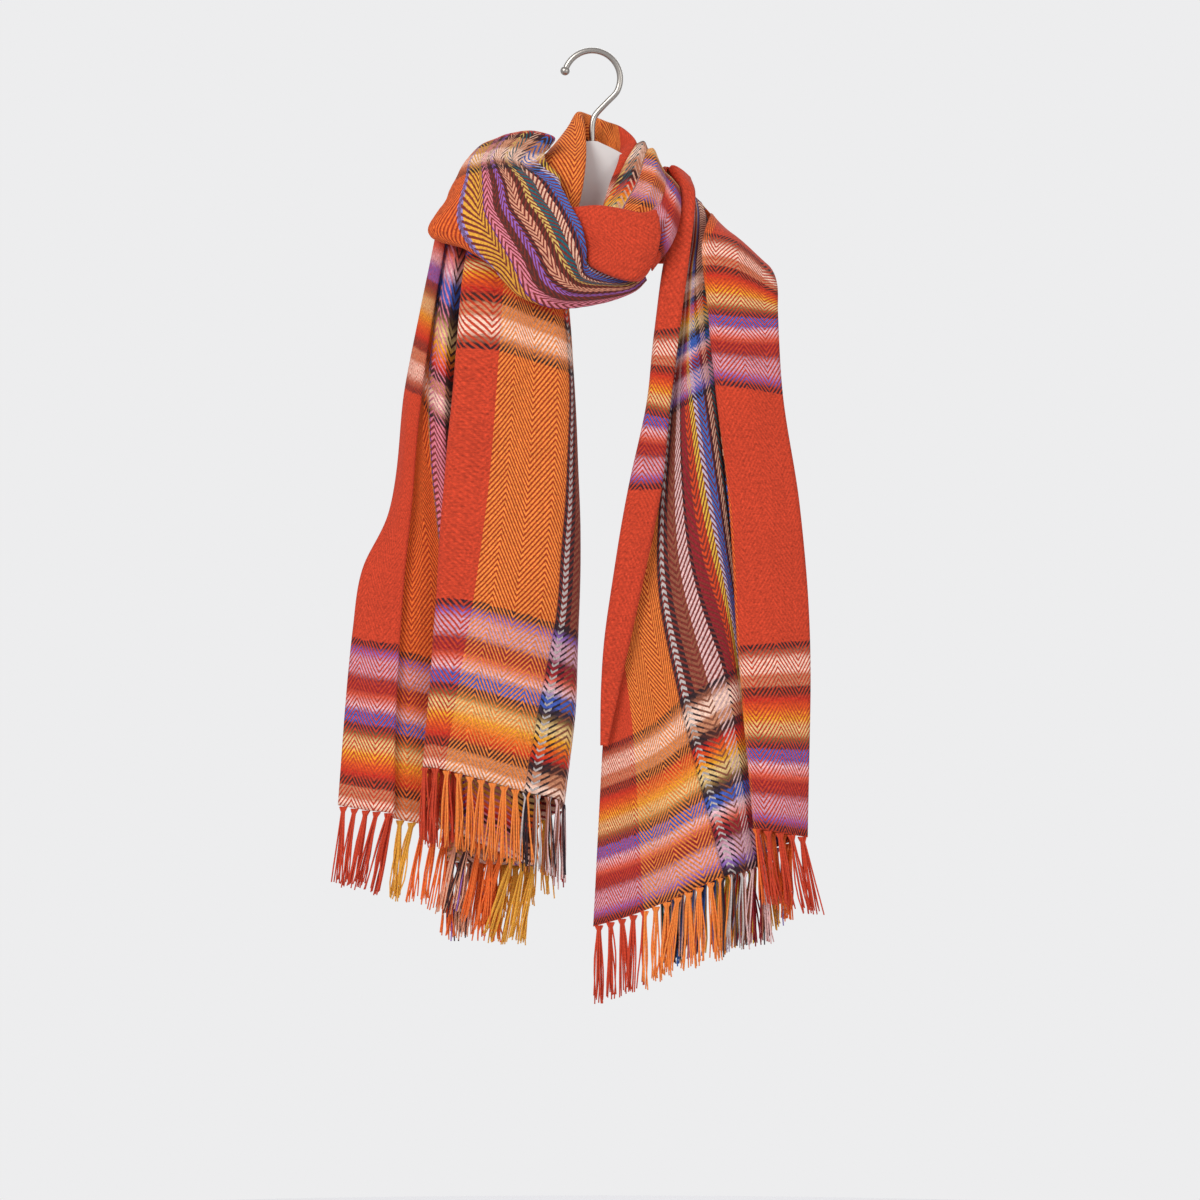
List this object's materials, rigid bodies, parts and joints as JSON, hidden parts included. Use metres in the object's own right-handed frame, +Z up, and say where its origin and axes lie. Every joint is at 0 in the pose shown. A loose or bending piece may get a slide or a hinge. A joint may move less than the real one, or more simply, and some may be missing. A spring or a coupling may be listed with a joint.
{
  "type": "woven scarf wound on a clothes hanger",
  "caption": "Wide plaid herringbone scarf with fringed ends, wound once round the neck of a plain hanger with a wire hook.",
  "frame": {"origin": "inner top of the hanger's hook, on the line where a rail carries it", "axes": "+Z up, the scarf's front faces -Y, and X runs along the hanger's arms with the longer end at +X"},
  "size_m": [0.4018, 0.1445, 0.8188],
  "materials": {
    "red_cloth": "woven, matte, herringbone",
    "orange_cloth": "woven, matte, herringbone",
    "striped_cloth": "woven, matte, many-coloured stripes",
    "yarn": "twisted yarn, matte",
    "hook_wire": "satin wire",
    "hanger_white": "smooth, satin white"
  },
  "bodies": {
    "root": {"hanger_body": "hanger_white", "hanger_hook": "hook_wire", "left_end": "orange_cloth", "neck_collar": "orange_cloth", "neck_right_folds": "striped_cloth", "neck_turn": "red_cloth", "cowl_front": "striped_cloth", "neck_back": "orange_cloth", "right_end": "orange_cloth", "right_flap": "red_cloth", "right_panel": "red_cloth", "right_pleat": "striped_cloth", "left_fringe_back": "yarn", "left_fringe_rear": "yarn", "left_fringe_front": "yarn", "right_fringe_end": "yarn", "right_fringe_panel": "yarn", "right_fringe_pleat": "yarn"}
  },
  "joints": []
}
